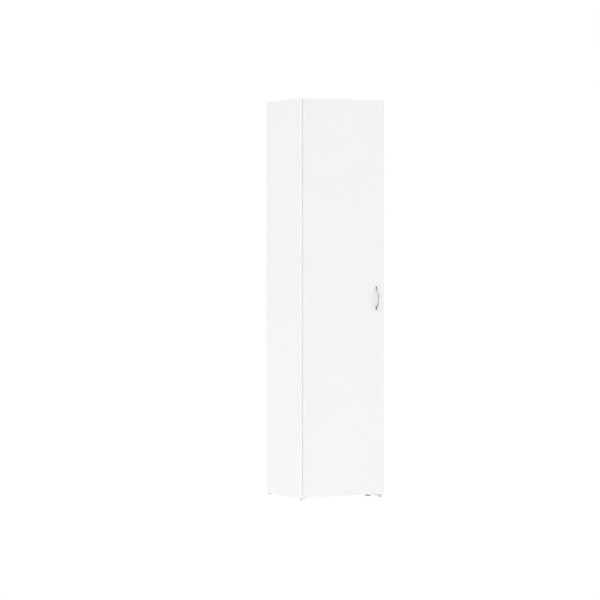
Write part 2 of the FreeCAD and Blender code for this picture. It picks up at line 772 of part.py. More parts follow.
# Wall bracket inside, under the top board and against the back sheet
bracket_hole = rod("bracket_hole", "bracket_hole_radius", "bracket_thickness", wall_spot, "-y")
bracket = cut(
    "bracket",
    fuse("bracket_legs", [
        box(
            "bracket_top",
            ("-bracket_width / 2", f"{BACK} - bracket_top_leg", f"{TOP_UNDER} - bracket_thickness"),
            ("bracket_width", "bracket_top_leg", "bracket_thickness"),
        ),
        box(
            "bracket_back",
            ("-bracket_width / 2", f"{BACK} - bracket_thickness", f"{TOP_UNDER} - bracket_back_leg"),
            ("bracket_width", "bracket_thickness", "bracket_back_leg"),
        ),
    ]),
    [bracket_hole] + [
        rod(
            f"bracket_screw_hole_{number}",
            "wood_screw_radius",
            "bracket_thickness",
            (f"{end} bracket_screw_spacing / 2", f"{BACK} - bracket_screw_inset", TOP_UNDER),
            "-z",
        )
        for number, end in enumerate(("-", "+"))
    ],
)
piece(bracket, "wall_bracket")
bracket_under = f"{TOP_UNDER} - bracket_thickness"
copies("wall_bracket_screws", wood_screw, [
    (f"{end} bracket_screw_spacing / 2", f"{BACK} - bracket_screw_inset", bracket_under, "-z")
    for end in ("-", "+")
])

# Magnetic catch on the right side board, and its strike plate on the door
CATCH_FRONT = f"({FRONT} + catch_setback)"
MAGNET_X = f"({INNER_RIGHT} - catch_depth / 2)"
magnet_corner = (
    f"{MAGNET_X} - magnet_width / 2",
    f"{CATCH_FRONT} - magnet_stand_out",
    f"{CATCH_LEVEL} - magnet_height / 2",
)
magnet_lengths = ("magnet_width", "magnet_length", "magnet_height")
housing = cut(
    "housing",
    fuse("housing_body", [
        box(
            "housing_block",
            (f"{INNER_RIGHT} - catch_depth", CATCH_FRONT, f"{CATCH_LEVEL} - catch_height / 2"),
            ("catch_depth", "catch_length", "catch_height"),
        ),
        box(
            "housing_ears",
            (
                f"{INNER_RIGHT} - catch_ear_thickness",
                f"{CATCH_SCREW_Y} - catch_ear_length / 2",
                f"{CATCH_LEVEL} - catch_ear_height / 2",
            ),
            ("catch_ear_thickness", "catch_ear_length", "catch_ear_height"),
        ),
    ]),
    [box("housing_pocket", magnet_corner, magnet_lengths)] + [
        rod(
            f"housing_hole_{number}",
            "wood_screw_radius",
            "catch_ear_thickness",
            (INNER_RIGHT, CATCH_SCREW_Y, f"{CATCH_LEVEL} {end} catch_screw_spacing / 2"),
            "-x",
        )
        for number, end in enumerate(("-", "+"))
    ],
)
piece(housing, "catch_housing")
piece(box("magnet", magnet_corner, magnet_lengths), "catch_magnet")
ear_face = f"{INNER_RIGHT} - catch_ear_thickness"
copies("catch_screws", wood_screw, [
    (ear_face, CATCH_SCREW_Y, f"{CATCH_LEVEL} {end} catch_screw_spacing / 2", "-x")
    for end in ("-", "+")
])
strike = fuse("strike", [
    rod("strike_disc", "strike_radius", "strike_thickness", (MAGNET_X, DOOR_BACK, CATCH_LEVEL), "+y"),
    rod("strike_stem", "strike_stem_radius", "strike_stem_length", (MAGNET_X, DOOR_BACK, CATCH_LEVEL), "-y"),
])
piece(strike, "catch_strike_plate")

# Door board, drilled from behind for cups, screws, handle and strike plate
door = board(
    "door_panel",
    (DOOR_LEFT, DOOR_FRONT, "door_bottom_level"),
    (f"{DOOR_RIGHT} - {DOOR_LEFT}", "door_thickness", f"{DOOR_TOP} - door_bottom_level"),
    "door_rounding",
)
HANDLE_X = f"({DOOR_RIGHT} - handle_edge_distance)"
HANDLE_LEVEL = f"({DOOR_MID} - handle_drop)"
HANDLE_ENDS = [f"({HANDLE_LEVEL} {end} handle_screw_spacing / 2)" for end in ("-", "+")]
CUP_SCREW_X = f"({CUP_X} + cup_ear_offset)"
strike_spot = (MAGNET_X, DOOR_BACK, CATCH_LEVEL)
door_drills = [rod("door_strike_hole", "strike_stem_radius", "strike_stem_length", strike_spot, "-y")]
for number, level in enumerate(HANDLE_ENDS):
    spot = (HANDLE_X, DOOR_BACK, level)
    hole = "handle_screw_radius + handle_hole_clearance"
    door_drills.append(rod(f"door_handle_{number}", hole, "door_thickness", spot, "-y"))
for hinge, level in HINGE_LEVELS.items():
    door_drills.append(rod(f"door_cup_{hinge}", "cup_radius", "cup_depth", (CUP_X, DOOR_BACK, level), "-y"))
    for number, end in enumerate(("-", "+")):
        spot = (CUP_SCREW_X, DOOR_BACK, f"{level} {end} cup_screw_spacing / 2")
        depth = "wood_screw_length - cup_flange_thickness"
        door_drills.append(rod(f"door_cup_{hinge}_{number}", "wood_screw_radius", depth, spot, "-y"))
piece(cut("door_panel", door, door_drills), "door_panel")

# Two soft bumpers behind the door's free edge
bumper = cone("bumper", "bumper_radius", "bumper_tip_radius", "bumper_height", ORIGIN)
copies("door_bumpers", bumper, [
    (SIDE_CENTRES["right"], DOOR_BACK, level, "+y")
    for level in ("door_bottom_level + bumper_end_distance", f"{DOOR_TOP} - bumper_end_distance")
])

# Bow handle: the space between two arcs, standing on two feet
handle = doc.addObject("PartDesign::Body", "handle")
handle_side = sketch_on(handle, "YZ_Plane", "handle_side")
half_length = SIZES["handle_length"] / 2
half_gap = half_length - SIZES["handle_foot_length"]
rise = SIZES["handle_projection"]
arcs = {
    "outer": (half_length, rise, "handle_length / 2", "handle_projection"),
    "inner": (
        half_gap,
        rise - SIZES["handle_grip_thickness"],
        "(handle_length / 2 - handle_foot_length)",
        "(handle_projection - handle_grip_thickness)",
    ),
}
for number, (name, (half, height, half_text, height_text)) in enumerate(arcs.items()):
    radius = (half ** 2 + height ** 2) / (2 * height)
    spread = math.asin(half / radius)
    ring = Part.Circle(FreeCAD.Vector(radius - height, 0, 0), FreeCAD.Vector(0, 0, 1), radius)
    handle_side.addGeometry(Part.ArcOfCircle(ring, math.pi - spread, math.pi + spread))
    handle_side.addConstraint(Sketcher.Constraint("PointOnObject", number, 3, -1))
    handle_side.addConstraint(Sketcher.Constraint("PointOnObject", number, 1, -2))
    handle_side.addConstraint(Sketcher.Constraint("PointOnObject", number, 2, -2))
    hold(handle_side, Sketcher.Constraint("DistanceY", -1, 1, number, 1, half), name + "_half", half_text)
    curve = f"(({half_text})^2 + ({height_text})^2) / (2 * {height_text})"
    hold(handle_side, Sketcher.Constraint("Radius", number, radius), name + "_curve", curve)
for number, (end, side) in enumerate(((1, 1), (2, -1)), start=2):
    outer_end = FreeCAD.Vector(0, side * half_length, 0)
    inner_end = FreeCAD.Vector(0, side * half_gap, 0)
    handle_side.addGeometry(Part.LineSegment(outer_end, inner_end))
    handle_side.addConstraint(Sketcher.Constraint("Coincident", number, 1, 0, end))
    handle_side.addConstraint(Sketcher.Constraint("Coincident", number, 2, 1, end))
handle_pad = middle_pad(handle, handle_side, "handle_band", "handle_width")
doc.recompute()
handle_soft = handle.newObject("PartDesign::Fillet", "handle_edges")
band_edges = []
for number, edge in enumerate(handle_pad.Shape.Edges, start=1):
    if edge.Curve.TypeId == "Part::GeomCircle":
        band_edges.append("Edge%d" % number)
handle_soft.Base = (handle_pad, band_edges)
bind(handle_soft, Radius="handle_rounding")
place(handle, HANDLE_X, DOOR_FRONT, HANDLE_LEVEL)
handle_threads = []
for number, level in enumerate(HANDLE_ENDS):
    spot = (HANDLE_X, DOOR_FRONT, level)
    thread = rod(f"handle_thread_{number}", "handle_screw_radius", "handle_screw_bite", spot, "-y")
    handle_threads.append(thread)
piece(cut("handle_drilled", handle, handle_threads), "door_handle")
handle_screw = screw(
    "handle_screw",
    "handle_screw_radius",
    "(door_thickness + handle_screw_bite)",
    "handle_head_radius",
    "handle_head_height",
)
copies("handle_screws", handle_screw, [(HANDLE_X, DOOR_BACK, level, "+y") for level in HANDLE_ENDS])

# Hinge cup: mouth at the origin and open towards +Z, with two lugs that hold the pin
CUP_OUTER = "(cup_radius - cup_clearance)"
CUP_INNER = "(cup_radius - cup_clearance - cup_wall)"
LUG_X = f"({PIN_X} - {CUP_X})"
LUG_START = "(arm_eye_width / 2 + arm_side_clearance)"
shell = cut(
    "cup_shell",
    fuse("cup_solid", [
        rod("cup_pot", CUP_OUTER, "cup_depth", ("0", "0", "-cup_depth")),
        rod("cup_flange", "cup_flange_radius", "cup_flange_thickness", ORIGIN),
        box(
            "cup_ears",
            ("cup_ear_offset - cup_ear_width / 2", "-cup_ear_length / 2", "0"),
            ("cup_ear_width", "cup_ear_length", "cup_flange_thickness"),
        ),
    ]),
    [
        rod(
            "cup_hollow",
            CUP_INNER,
            "cup_depth - cup_floor + cup_flange_thickness",
            ("0", "0", "cup_floor - cup_depth"),
        ),
    ] + [
        rod(
            f"cup_screw_hole_{number}",
            "wood_screw_radius",
            "cup_flange_thickness",
            ("cup_ear_offset", f"{end} cup_screw_spacing / 2", "0"),
        )
        for number, end in enumerate(("-", "+"))
    ],
)
lug_blocks = [
    box(
        "cup_lug_low",
        (f"{LUG_X} - lug_width / 2", f"-{LUG_START} - lug_length", "cup_floor - cup_depth"),
        ("lug_width", "lug_length", "lug_height"),
    ),
    box(
        "cup_lug_high",
        (f"{LUG_X} - lug_width / 2", LUG_START, "cup_floor - cup_depth"),
        ("lug_width", "lug_length", "lug_height"),
    ),
]
lugs = doc.addObject("Part::Common", "cup_lugs")
lugs.Base = fuse("cup_lug_blocks", lug_blocks)
lugs.Tool = rod("cup_lug_limit", CUP_OUTER, "cup_depth", ("0", "0", "-cup_depth"))
cup = cut("cup", fuse("cup_with_lugs", [shell, lugs]), [
    rod(
        "cup_pin_bore",
        "hinge_pin_radius",
        "hinge_pin_length",
        (LUG_X, "-hinge_pin_length / 2", "-hinge_pin_depth"),
        "+y",
    ),
])
hinge_pin = rod("hinge_pin", "hinge_pin_radius", "hinge_pin_length", ORIGIN)

# Hinge arm: an eye round the pin, a bend inside the cup and a channel over the mounting plate
arm = doc.addObject("PartDesign::Body", "arm")
LEG = f"({INNER_LEFT} + plate_height - {PIN_X})"
LEG_OUT = f"({LEG} + arm_thickness)"
ARM_END = f"({FRONT} + arm_reach - {PIN_Y})"
CHANNEL = f"({FRONT} + channel_start - {PIN_Y})"
LIP = f"({LEG} - plate_height + wing_thickness + lip_clearance)"
eye = sketch_on(arm, "XY_Plane", "arm_eye")
circle(eye, "0", "0", "arm_eye_radius")
middle_pad(arm, eye, "arm_eye_pad", "arm_eye_width")
elbow = sketch_on(arm, "XY_Plane", "arm_elbow")
polygon(elbow, [
    ("0", "-arm_thickness / 2"),
    (LEG_OUT, "-arm_thickness / 2"),
    (LEG_OUT, ARM_END),
    (LEG, ARM_END),
    (LEG, "arm_thickness / 2"),
    ("0", "arm_thickness / 2"),
])
middle_pad(arm, elbow, "arm_elbow_pad", "arm_eye_width")
lips = sketch_on(arm, "XY_Plane", "arm_lips")
polygon(lips, [
    (LIP, CHANNEL),
    (LEG_OUT, CHANNEL),
    (LEG_OUT, ARM_END),
    (LIP, ARM_END),
])
middle_pad(arm, lips, "arm_lips_pad", "channel_width")
groove = sketch_on(arm, "XY_Plane", "arm_groove")
polygon(groove, [
    (LIP, CHANNEL),
    (LEG, CHANNEL),
    (LEG, ARM_END),
    (LIP, ARM_END),
])
groove_cut = arm.newObject("PartDesign::Pocket", "arm_groove_cut")
groove_cut.Profile = groove
groove_cut.Midplane = True
bind(groove_cut, Length="channel_inner_width")
bore = sketch_on(arm, "XY_Plane", "arm_bore")
circle(bore, "0", "0", "hinge_pin_radius + hinge_pin_clearance")
bore_cut = arm.newObject("PartDesign::Pocket", "arm_bore_cut")
bore_cut.Profile = bore
bore_cut.Midplane = True
bind(bore_cut, Length="2 * arm_eye_width")
doc.recompute()
arm_bend = arm.newObject("PartDesign::Fillet", "arm_bend")
elbow_zone = 2 * SIZES["arm_thickness"]
bend_edges = []
for number, edge in enumerate(bore_cut.Shape.Edges, start=1):
    middle = edge.CenterOfMass
    straight_up = abs(edge.tangentAt(edge.FirstParameter).z) > 0.99
    if straight_up and middle.x > elbow_zone and middle.y < elbow_zone:
        bend_edges.append("Edge%d" % number)
arm_bend.Base = (bore_cut, bend_edges)
bind(arm_bend, Radius="arm_bend_radius")
ARM_SCREWS = {"front": "arm_screw_front", "back": "arm_screw_back"}
arm_drilled = cut("arm_drilled", arm, [
    rod(
        f"arm_hole_{end}",
        "arm_screw_radius",
        "arm_thickness",
        (LEG, f"{FRONT} + {setback} - {PIN_Y}", "0"),
        "+x",
    )
    for end, setback in ARM_SCREWS.items()
])

# Mounting plate: a rib under the arm and two wings for the screws, on the side board's inner face
plate = cut(
    "plate",
    fuse("plate_body", [
        box(
            "plate_rib",
            ("0", "plate_front", "-plate_width / 2"),
            ("plate_height", "plate_back - plate_front", "plate_width"),
        ),
        box(
            "plate_wings",
            ("0", "plate_screw_setback - wing_width / 2", "-wing_length / 2"),
            ("wing_thickness", "wing_width", "wing_length"),
        ),
    ]),
    [
        rod(
            f"plate_wing_hole_{number}",
            "plate_screw_radius",
            "wing_thickness",
            ("0", "plate_screw_setback", f"{end} plate_screw_spacing / 2"),
            "+x",
        )
        for number, end in enumerate(("-", "+"))
    ] + [
        rod(
            f"plate_thread_{end}",
            "arm_screw_radius",
            "arm_screw_length - arm_thickness",
            ("plate_height", setback, "0"),
            "-x",
        )
        for end, setback in ARM_SCREWS.items()
    ],
)
plate_screw = screw(
    "plate_screw",
    "plate_screw_radius",
    "plate_screw_length",
    "plate_head_radius",
    "plate_head_height",
)
arm_screw = screw("arm_screw", "arm_screw_radius", "arm_screw_length", "arm_head_radius", "arm_head_height")
pin_spots = []
cup_screw_spots = []
plate_screw_spots = []
arm_screw_spots = []
for hinge, level in HINGE_LEVELS.items():
    copies("hinge_cup_" + hinge, cup, [(CUP_X, DOOR_BACK, level, "+y")])
    copies("hinge_arm_" + hinge, arm_drilled, [(PIN_X, PIN_Y, level, "+z")])
    copies("hinge_plate_" + hinge, plate, [(INNER_LEFT, FRONT, level, "+z")])
    pin_spots.append((PIN_X, PIN_Y, f"{level} - hinge_pin_length / 2", "+z"))
    for end in ("-", "+"):
        cup_level = f"{level} {end} cup_screw_spacing / 2"
        cup_screw_spots.append((CUP_SCREW_X, f"{DOOR_BACK} + cup_flange_thickness", cup_level, "+y"))
        wing_level = f"{level} {end} plate_screw_spacing / 2"
        wing_spot = (f"{INNER_LEFT} + wing_thickness", f"{FRONT} + plate_screw_setback", wing_level, "+x")
        plate_screw_spots.append(wing_spot)
    for setback in ARM_SCREWS.values():
        arm_face = f"{INNER_LEFT} + plate_height + arm_thickness"
        arm_screw_spots.append((arm_face, f"{FRONT} + {setback}", level, "+x"))
copies("hinge_pins", hinge_pin, pin_spots)
copies("hinge_cup_screws", wood_screw, cup_screw_spots)
copies("hinge_plate_screws", plate_screw, plate_screw_spots)
copies("hinge_arm_screws", arm_screw, arm_screw_spots)

# Check every object, then write one file for each piece
doc.recompute()
for item in doc.Objects:
    if "Invalid" in item.State or "Error" in item.State:
        raise RuntimeError("%s failed: %s" % (item.Label, item.State))
os.makedirs("parts", exist_ok=True)
for item in PIECES:
    shape = item.Shape
    if shape.isNull() or not shape.isValid() or not shape.Solids:
        raise RuntimeError("%s has no valid solid" % item.Label)
for item in PIECES:
    item.Shape.exportStep("parts/%s.step" % item.Label)
    print("%-24s %3d solids %10.0f mm3" % (item.Label, len(item.Shape.Solids), item.Shape.Volume))
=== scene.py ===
# %% [markdown]
# A tall white wardrobe with one door, dressed around its CAD model.
# The CAD model gives every board and fitting its true size and place, so this lesson is about finishes,
# light and the camera, and about the few pieces whose soft or crowned forms a CAD solid shows too plainly:
# the bow handle, the rubber bumpers and the cover caps.
# Lengths are metres, apart from the lens. X runs right as seen from the front, Y to the back and Z up.

# %% Load the CAD model as a fixed frame
import bmesh
import bpy
import math
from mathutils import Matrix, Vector


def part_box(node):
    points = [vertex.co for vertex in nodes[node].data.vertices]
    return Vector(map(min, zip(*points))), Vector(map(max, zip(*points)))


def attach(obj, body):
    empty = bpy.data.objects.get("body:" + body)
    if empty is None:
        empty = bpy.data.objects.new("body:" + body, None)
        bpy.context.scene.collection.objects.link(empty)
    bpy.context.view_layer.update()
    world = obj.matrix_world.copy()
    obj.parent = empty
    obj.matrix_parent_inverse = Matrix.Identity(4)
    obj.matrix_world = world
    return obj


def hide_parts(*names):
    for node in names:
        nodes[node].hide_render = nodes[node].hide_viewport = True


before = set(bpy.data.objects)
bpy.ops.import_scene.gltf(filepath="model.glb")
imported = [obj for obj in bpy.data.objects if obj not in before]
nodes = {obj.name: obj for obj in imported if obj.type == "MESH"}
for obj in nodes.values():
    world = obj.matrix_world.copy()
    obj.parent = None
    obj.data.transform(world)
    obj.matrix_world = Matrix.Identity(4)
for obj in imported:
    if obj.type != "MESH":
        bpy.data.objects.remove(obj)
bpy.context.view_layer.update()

# %% [markdown]
# The camera stands far off to the left of the wardrobe with a long lens, as a product photographer does
# when upright edges have to stay upright. Its place was worked out from the wardrobe's own edges in the
# picture: 26.5 degrees to the left, 12.6 m away and 1.06 m above the floor. It looks down by less than one
# degree, so that no upright leans by more than a tenth of a pixel.

# %% Camera
CAMERA_DISTANCE = 12.629
CAMERA_SIDE_ANGLE = math.radians(26.548)
CAMERA_TURN = math.radians(26.056)
CAMERA_TIP = math.radians(0.882)
CAMERA_HEIGHT = 1.0647
UNDER_WARDROBE = Vector((0.0, 0.0175, 0.0))
LENS_MM = 170.307
SENSOR_MM = 36.0
FAR_LIMIT = 60.0

lens = bpy.data.cameras.new("long_lens")
lens.sensor_width = SENSOR_MM
lens.lens = LENS_MM
lens.clip_end = FAR_LIMIT
camera = bpy.data.objects.new("camera", lens)
bpy.context.scene.collection.objects.link(camera)
away = Vector((math.sin(CAMERA_SIDE_ANGLE), math.cos(CAMERA_SIDE_ANGLE), 0.0))
camera.location = UNDER_WARDROBE - CAMERA_DISTANCE * away + Vector((0.0, 0.0, CAMERA_HEIGHT))
camera.rotation_euler = (math.pi / 2 - CAMERA_TIP, 0.0, -CAMERA_TURN)
bpy.context.scene.camera = camera
print("camera at", [round(v, 3) for v in camera.location])

# %% [markdown]
# The world and every finish are trees of shader nodes, joined by wires from an output socket to an input
# socket. Written out in full, each node takes several lines. The helpers below shorten that: they add a node,
# join two sockets, turn one number into another over a range, and start a material.

# %% Helpers for node trees


def add_node(tree, kind, **settings):
    """Add a shader node and set its properties."""
    node = tree.nodes.new(kind)
    for name, value in settings.items():
        setattr(node, name, value)
    return node


def wire(tree, start, end):
    """Join an output socket to an input socket."""
    tree.links.new(start, end)


def ramp(tree, value, start, end, first=0.0, last=1.0, course="SMOOTHSTEP"):
    """A number that moves from first to last while a value goes from start to end."""
    step = add_node(tree, "ShaderNodeMapRange", interpolation_type=course)
    step.inputs["From Min"].default_value = start
    step.inputs["From Max"].default_value = end
    step.inputs["To Min"].default_value = first
    step.inputs["To Max"].default_value = last
    wire(tree, value, step.inputs["Value"])
    return step.outputs["Result"]


def shader_of(material):
    """The shader at the end of a material's tree."""
    return material.node_tree.nodes["Principled BSDF"]


def start_finish(name):
    """A new material, with its tree and shader."""
    material = bpy.data.materials.new(name)
    material.use_nodes = True
    return material, material.node_tree, shader_of(material)


print("node helpers ready")

# %% [markdown]
# A white object on a white ground needs light from nearly everywhere, or its sides turn grey. The world is
# a soft dome that is bright in a broad ring half way up, so the front and the left side get the same light.
# It is dimmer straight overhead and towards the back on the right, so that the top and the right side keep
# a tone of their own beside the white ground. Behind the wardrobe the camera sees plain white.
# The colours are shown as they are, with no film curve, because the picture is nearly all white.

# %% World: a soft dome with a bright ring
DOME_LOW = 0.38
DOME_HIGH = 2.13
RING_START = 0.25
RING_TOP = 0.70
STRAIGHT_UP = 1.0
OVERHEAD_SHARE = 0.2
DIM_SIDE = (0.53, 0.85, 0.0)
DIM_END = 0.8
DIM_SHARE = 0.1
BACKGROUND_STRENGTH = 1.01
PURE_WHITE = (1.0, 1.0, 1.0, 1.0)

scene = bpy.context.scene
scene.view_settings.view_transform = "Standard"
world = bpy.data.worlds.new("white_dome")
world.use_nodes = True
sky = world.node_tree


def product(first, second):
    """One brightness of the sky times another."""
    times = add_node(sky, "ShaderNodeMath", operation="MULTIPLY")
    wire(sky, first, times.inputs[0])
    wire(sky, second, times.inputs[1])
    return times.outputs["Value"]


look = add_node(sky, "ShaderNodeTexCoord")
height = add_node(sky, "ShaderNodeSeparateXYZ")
wire(sky, look.outputs["Generated"], height.inputs["Vector"])
sideways = add_node(sky, "ShaderNodeVectorMath", operation="DOT_PRODUCT")
sideways.inputs[1].default_value = DIM_SIDE
wire(sky, look.outputs["Generated"], sideways.inputs[0])
ring = ramp(sky, height.outputs["Z"], RING_START, RING_TOP, DOME_LOW, DOME_HIGH)
overhead = ramp(sky, height.outputs["Z"], RING_TOP, STRAIGHT_UP, 1.0, OVERHEAD_SHARE)
dimming = ramp(sky, sideways.outputs["Value"], 0.0, DIM_END, 1.0, DIM_SHARE)
ray = add_node(sky, "ShaderNodeLightPath")
seen = add_node(sky, "ShaderNodeMix")
seen.inputs["B"].default_value = BACKGROUND_STRENGTH
wire(sky, ray.outputs["Is Camera Ray"], seen.inputs["Factor"])
wire(sky, product(product(ring, overhead), dimming), seen.inputs["A"])
dome = sky.nodes["Background"]
dome.inputs["Color"].default_value = PURE_WHITE
wire(sky, seen.outputs["Result"], dome.inputs["Strength"])
scene.world = world
print("dome:", DOME_LOW, "to", DOME_HIGH)

# %% [markdown]
# A weak soft panel high on the left lifts the side board, its upper end most, to the brightness of the door.
# Metal needs something else: it shows what it mirrors, so photographers stand a bright card where it looks.
# The handle faces the front and the camera stands to the left, so the card stands to the right. Only
# reflections can see it, because as a lamp it would throw a hard shadow of the handle on the door.

# %% Soft panel on the left, and a bright card for the metal to mirror


def soft_panel(name, place, aim, side, power):
    """A large square light that faces a point, with its power in watts."""
    light = bpy.data.lights.new(name, "AREA")
    light.shape = "SQUARE"
    light.size = side
    light.energy = power
    panel = bpy.data.objects.new(name, light)
    panel.location = place
    panel.rotation_euler = (Vector(aim) - Vector(place)).to_track_quat("-Z", "Y").to_euler()
    scene.collection.objects.link(panel)
    return panel


soft_panel("left_panel", place=(-5.0, -0.6, 4.2), aim=(0.0, 0.0, 1.2), side=3.0, power=46.0)
card = soft_panel("bright_card", place=(2.0, -3.8, 1.8), aim=(0.15, -0.2, 0.88), side=4.0, power=85.0)
card.visible_diffuse = False
print("lights:", [light.name for light in bpy.data.lights])

# %% [markdown]
# The floor is a plain pale sheet. In the picture it is as white as what lies behind it, with no horizon and
# no shadow, as on a light table. So the camera sees the sheet as plain white. For all other light it is
# a dim sheet that glows by itself, which lights the wardrobe evenly from below. It is part of the stage and
# not of the wardrobe.

# %% Floor
FLOOR_SIZE = 30.0
SHEET_GREY = (0.12, 0.12, 0.12, 1.0)
SHEET_GLOW = 0.92
SHEET_ROUGHNESS = 0.9
SHEET_SHINE = 0.1
FIRST_SHADER = 1
SECOND_SHADER = 2

bpy.ops.object.select_all(action="DESELECT")
bpy.ops.mesh.primitive_plane_add(size=FLOOR_SIZE, location=(0.0, 0.0, 0.0))
floor = bpy.context.active_object
floor.name = "floor"
sheet, tree, glow = start_finish("floor_sheet")
glow.inputs["Base Color"].default_value = SHEET_GREY
glow.inputs["Roughness"].default_value = SHEET_ROUGHNESS
glow.inputs["Specular IOR Level"].default_value = SHEET_SHINE
glow.inputs["Emission Color"].default_value = PURE_WHITE
glow.inputs["Emission Strength"].default_value = SHEET_GLOW
plain_white = add_node(tree, "ShaderNodeEmission")
plain_white.inputs["Strength"].default_value = BACKGROUND_STRENGTH
ray = add_node(tree, "ShaderNodeLightPath")
seen = add_node(tree, "ShaderNodeMixShader")
wire(tree, ray.outputs["Is Camera Ray"], seen.inputs["Fac"])
wire(tree, glow.outputs["BSDF"], seen.inputs[FIRST_SHADER])
wire(tree, plain_white.outputs["Emission"], seen.inputs[SECOND_SHADER])
wire(tree, seen.outputs["Shader"], tree.nodes["Material Output"].inputs["Surface"])
floor.data.materials.append(sheet)
print("floor:", floor.dimensions.x, "m square")

# %% [markdown]
# Most finishes here are mixes of the same few effects, so each effect is a node group with named sockets.
# A group is built once and placed in every material that needs it, with values of its own.
# All of them start from noise on Object coordinates or from the direction that a surface faces.

# %% Helpers for node groups


def start_group(name, inputs, outputs):
    """Make a shader node group with named sockets, and return it with its inner ends."""
    group = bpy.data.node_groups.new(name, "ShaderNodeTree")
    for socket_name, kind, default in inputs:
        socket = group.interface.new_socket(name=socket_name, in_out="INPUT", socket_type=kind)
        socket.default_value = default
    for socket_name in outputs:
        group.interface.new_socket(name=socket_name, in_out="OUTPUT", socket_type="NodeSocketFloat")
    return group, add_node(group, "NodeGroupInput"), add_node(group, "NodeGroupOutput")


def place_group(tree, group, **values):
    """Put a group into a material and set its inputs; an underscore in a name stands for a space."""
    node = add_node(tree, "ShaderNodeGroup", node_tree=group)
    for name, value in values.items():
        node.inputs[name.replace("_", " ")].default_value = value
    return node


def add_noise(tree, place, detail):
    """A noise texture that is read at a place, with so many layers of detail."""
    noise = add_node(tree, "ShaderNodeTexNoise")
    noise.inputs["Detail"].default_value = detail
    wire(tree, place, noise.inputs["Vector"])
    return noise


print("group helpers ready")

# %% [markdown]
# The boards are chipboard under a white melamine skin, and that skin is pressed with a fine pearl texture.
# At arm's length it only softens reflections. It could be a picture of noise, but noise on Object
# coordinates stays sharp at any distance and sits still when the door swings.
# The group gives a tone that drifts slowly, and a height with pimples under a millimetre wide.

# %% Effect: pearl texture of a pressed skin
pearl, ends_in, ends_out = start_group(
    "pearl_texture",
    [("Pimple Scale", "NodeSocketFloat", 900.0), ("Drift Scale", "NodeSocketFloat", 6.0)],
    ["Tone", "Height"],
)
where = add_node(pearl, "ShaderNodeTexCoord")
pimples = add_noise(pearl, where.outputs["Object"], detail=2.0)
drift = add_noise(pearl, where.outputs["Object"], detail=3.0)
wire(pearl, ends_in.outputs["Pimple Scale"], pimples.inputs["Scale"])
wire(pearl, ends_in.outputs["Drift Scale"], drift.inputs["Scale"])
wire(pearl, drift.outputs["Fac"], ends_out.inputs["Tone"])
wire(pearl, pimples.outputs["Fac"], ends_out.inputs["Height"])
print("group:", pearl.name)

# %% [markdown]
# A cut board shows its core, so its narrow faces are covered with a glued strip, the edge band.
# The strip is a separate plastic, a touch warmer than the skin, and the glue line beside it is a hair darker.
# Both can be found from the surface's own direction: narrow faces look along other axes than the broad ones,
# and the glue line lies on the rounded edge between them, where the direction is slanted.

# %% Effect: edge band and glue line, found from the surface's direction
BROAD_FROM = 0.75
NARROW_UP_TO = 0.65
STRAIGHT_FROM = 0.97
SLANTED_UP_TO = 0.80

banding, ends_in, ends_out = start_group(
    "edge_band",
    [("Broad Side", "NodeSocketVector", (1.0, 0.0, 0.0))],
    ["Band", "Glue Line"],
)
where = add_node(banding, "ShaderNodeTexCoord")
facing = add_node(banding, "ShaderNodeVectorMath", operation="DOT_PRODUCT")
share = add_node(banding, "ShaderNodeMath", operation="ABSOLUTE")
wire(banding, where.outputs["Normal"], facing.inputs[0])
wire(banding, ends_in.outputs["Broad Side"], facing.inputs[1])
wire(banding, facing.outputs["Value"], share.inputs[0])
wire(banding, ramp(banding, share.outputs["Value"], BROAD_FROM, NARROW_UP_TO), ends_out.inputs["Band"])
all_shares = add_node(banding, "ShaderNodeVectorMath", operation="ABSOLUTE")
parts = add_node(banding, "ShaderNodeSeparateXYZ")
largest_xy = add_node(banding, "ShaderNodeMath", operation="MAXIMUM")
largest = add_node(banding, "ShaderNodeMath", operation="MAXIMUM")
wire(banding, where.outputs["Normal"], all_shares.inputs[0])
wire(banding, all_shares.outputs["Vector"], parts.inputs["Vector"])
wire(banding, parts.outputs["X"], largest_xy.inputs[0])
wire(banding, parts.outputs["Y"], largest_xy.inputs[1])
wire(banding, largest_xy.outputs["Value"], largest.inputs[0])
wire(banding, parts.outputs["Z"], largest.inputs[1])
slant = ramp(banding, largest.outputs["Value"], STRAIGHT_FROM, SLANTED_UP_TO)
wire(banding, slant, ends_out.inputs["Glue Line"])
print("group:", banding.name)

# %% [markdown]
# Metal fittings are drawn, rolled or brushed, which leaves fine lines along one direction.
# Noise that is squeezed hard along two axes and left long on the third looks like those lines.
# A second, broad noise gives the handled patches that keep metal from looking new and perfect.

# %% Effect: drawn lines on metal
drawn, ends_in, ends_out = start_group(
    "drawn_lines",
    [
        ("Line Stretch", "NodeSocketVector", (4000.0, 4000.0, 60.0)),
        ("Patch Scale", "NodeSocketFloat", 40.0),
    ],
    ["Lines", "Patches"],
)
where = add_node(drawn, "ShaderNodeTexCoord")
stretch = add_node(drawn, "ShaderNodeVectorMath", operation="MULTIPLY")
wire(drawn, where.outputs["Object"], stretch.inputs[0])
wire(drawn, ends_in.outputs["Line Stretch"], stretch.inputs[1])
lines = add_noise(drawn, stretch.outputs["Vector"], detail=3.0)
lines.inputs["Scale"].default_value = 1.0
patches = add_noise(drawn, where.outputs["Object"], detail=2.0)
wire(drawn, ends_in.outputs["Patch Scale"], patches.inputs["Scale"])
wire(drawn, lines.outputs["Fac"], ends_out.inputs["Lines"])
wire(drawn, patches.outputs["Fac"], ends_out.inputs["Patches"])
print("group:", drawn.name)

# %% [markdown]
# Every finish below follows one recipe: two close colours mixed by a tone, a roughness that moves between
# two limits with another tone, and a shallow bump. A few helpers hold that recipe, so that each finish reads
# as a short list of its own values. A Mix node has sockets for numbers, vectors and colours under the same
# names, so its colour sockets go by number.

